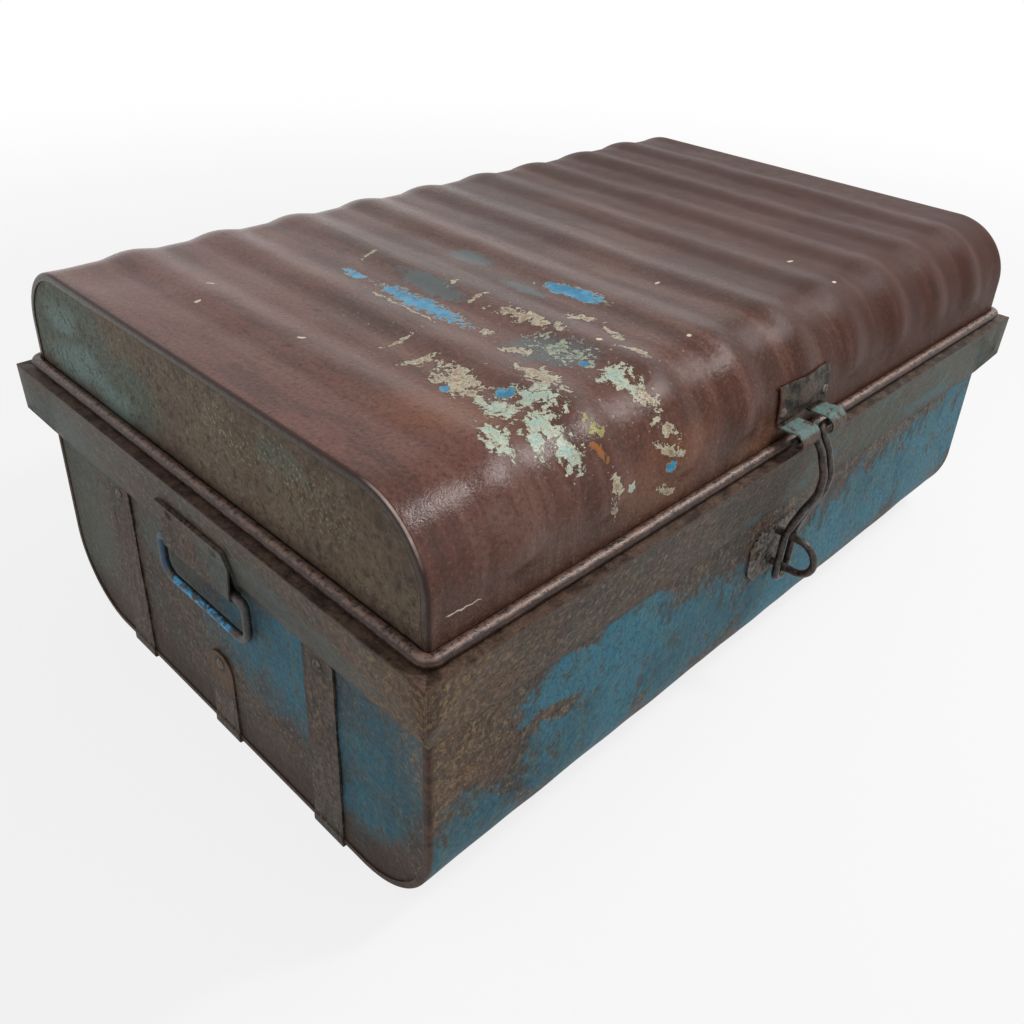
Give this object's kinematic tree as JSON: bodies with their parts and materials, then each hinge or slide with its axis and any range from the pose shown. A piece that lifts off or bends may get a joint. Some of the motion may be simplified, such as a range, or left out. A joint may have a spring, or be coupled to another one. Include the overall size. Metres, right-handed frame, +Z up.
{
  "type": "travel trunk",
  "caption": "Sheet-iron travel trunk: ribbed lid hinged at the back, flared rim band, wire hasp over a padlock staple, wire bail handles on the ends.",
  "frame": {"origin": "on the floor under the middle of the trunk, on the underside of the middle strap", "axes": "+Z up, +X along the long side, -Y out of the front, where the hasp and the padlock staple are"},
  "size_m": [0.79, 0.5543, 0.3348],
  "materials": {
    "lid_paint": "old red-brown paint, worn and mottled, soft gloss",
    "tub_paint": "old brown paint with blue-green patches, worn",
    "fitting_paint": "flaked blue paint over dark steel",
    "bare_steel": "dull, worn"
  },
  "bodies": {
    "trunk": {"tub_wrap": "tub_paint", "tub_end_left": "tub_paint", "tub_end_right": "tub_paint", "rim_band_front": "tub_paint", "rim_band_back": "tub_paint", "rim_band_left": "tub_paint", "rim_band_right": "tub_paint", "base_strap_front": "tub_paint", "base_strap_mid": "tub_paint", "base_strap_back": "tub_paint", "strap_rivets": "bare_steel", "handle_clip_left": "fitting_paint", "handle_clip_right": "fitting_paint", "handle_clip_rivets": "bare_steel", "staple_plate": "fitting_paint", "staple_plate_rivets": "bare_steel", "staple": "fitting_paint", "hinge_body_leaf_left": "fitting_paint", "hinge_body_leaf_right": "fitting_paint", "hinge_pin_left": "bare_steel", "hinge_pin_right": "bare_steel", "hinge_body_rivets": "bare_steel"},
    "lid": {"lid_wrap": "lid_paint", "lid_end_left": "lid_paint", "lid_end_right": "lid_paint", "lid_rim_bead": "lid_paint", "lid_rim_wire": "bare_steel", "hasp_plate": "fitting_paint", "hasp_plate_rivets": "bare_steel", "hinge_lid_leaf_left": "fitting_paint", "hinge_lid_leaf_right": "fitting_paint", "hinge_lid_rivets": "bare_steel"},
    "hasp": {"hasp_loop": "fitting_paint"},
    "handle_left": {"handle_bail_left": "fitting_paint"},
    "handle_right": {"handle_bail_right": "fitting_paint"}
  },
  "joints": [
    {"name": "lid_hinge", "type": "hinge", "parent": "trunk", "child": "lid", "pos_m": [0, 0.2638, 0.2408], "axis": [-1, 0, 0], "range_deg": [0, 105]},
    {"name": "hasp_swing", "type": "hinge", "parent": "lid", "child": "hasp", "pos_m": [0, -0.262, 0.251], "axis": [-1, 0, 0], "range_deg": [0, 165]},
    {"name": "handle_left_swing", "type": "hinge", "parent": "trunk", "child": "handle_left", "pos_m": [-0.38488, 0, 0.16706], "axis": [0, 1, 0], "range_deg": [0, 160]},
    {"name": "handle_right_swing", "type": "hinge", "parent": "trunk", "child": "handle_right", "pos_m": [0.38488, 0, 0.16706], "axis": [0, -1, 0], "range_deg": [0, 160]}
  ]
}
